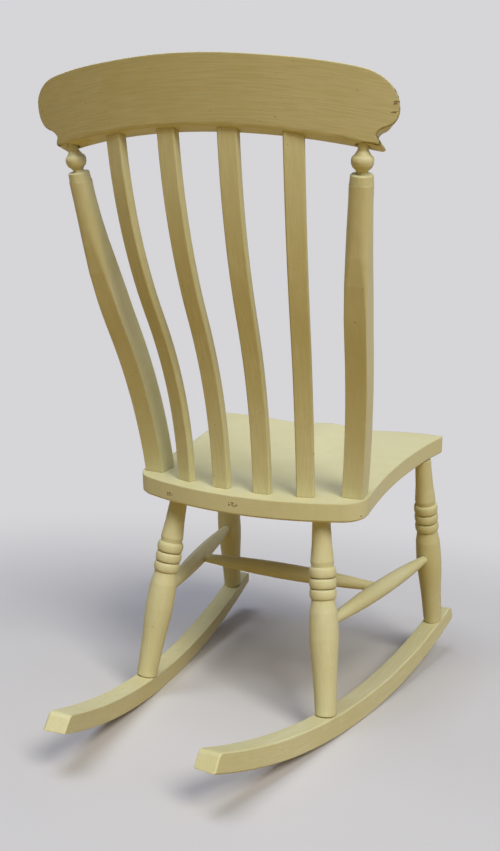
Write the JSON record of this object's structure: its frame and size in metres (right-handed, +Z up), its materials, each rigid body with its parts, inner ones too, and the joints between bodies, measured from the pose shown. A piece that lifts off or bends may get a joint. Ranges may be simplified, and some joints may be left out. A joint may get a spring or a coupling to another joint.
{
  "type": "rocking chair",
  "caption": "Painted wooden rocking chair with a dished seat, a back of bent laths between posts under a crest rail, and turned legs on two rockers.",
  "frame": {"origin": "on the floor, midway between the points where the two rockers touch it at rest", "axes": "+Z up, -Y the way the sitter faces, +X to the sitter's left"},
  "size_m": [0.5514, 0.8885, 1.014],
  "materials": {
    "cream_paint": "satin"
  },
  "bodies": {
    "root": {"seat": "cream_paint", "crest_rail": "cream_paint", "left_back_post": "cream_paint", "right_back_post": "cream_paint", "back_lath_1": "cream_paint", "back_lath_2": "cream_paint", "back_lath_3": "cream_paint", "back_lath_4": "cream_paint", "left_front_leg": "cream_paint", "right_front_leg": "cream_paint", "left_rear_leg": "cream_paint", "right_rear_leg": "cream_paint", "left_side_stretcher": "cream_paint", "right_side_stretcher": "cream_paint", "cross_stretcher": "cream_paint", "left_rocker": "cream_paint", "right_rocker": "cream_paint"}
  },
  "joints": []
}
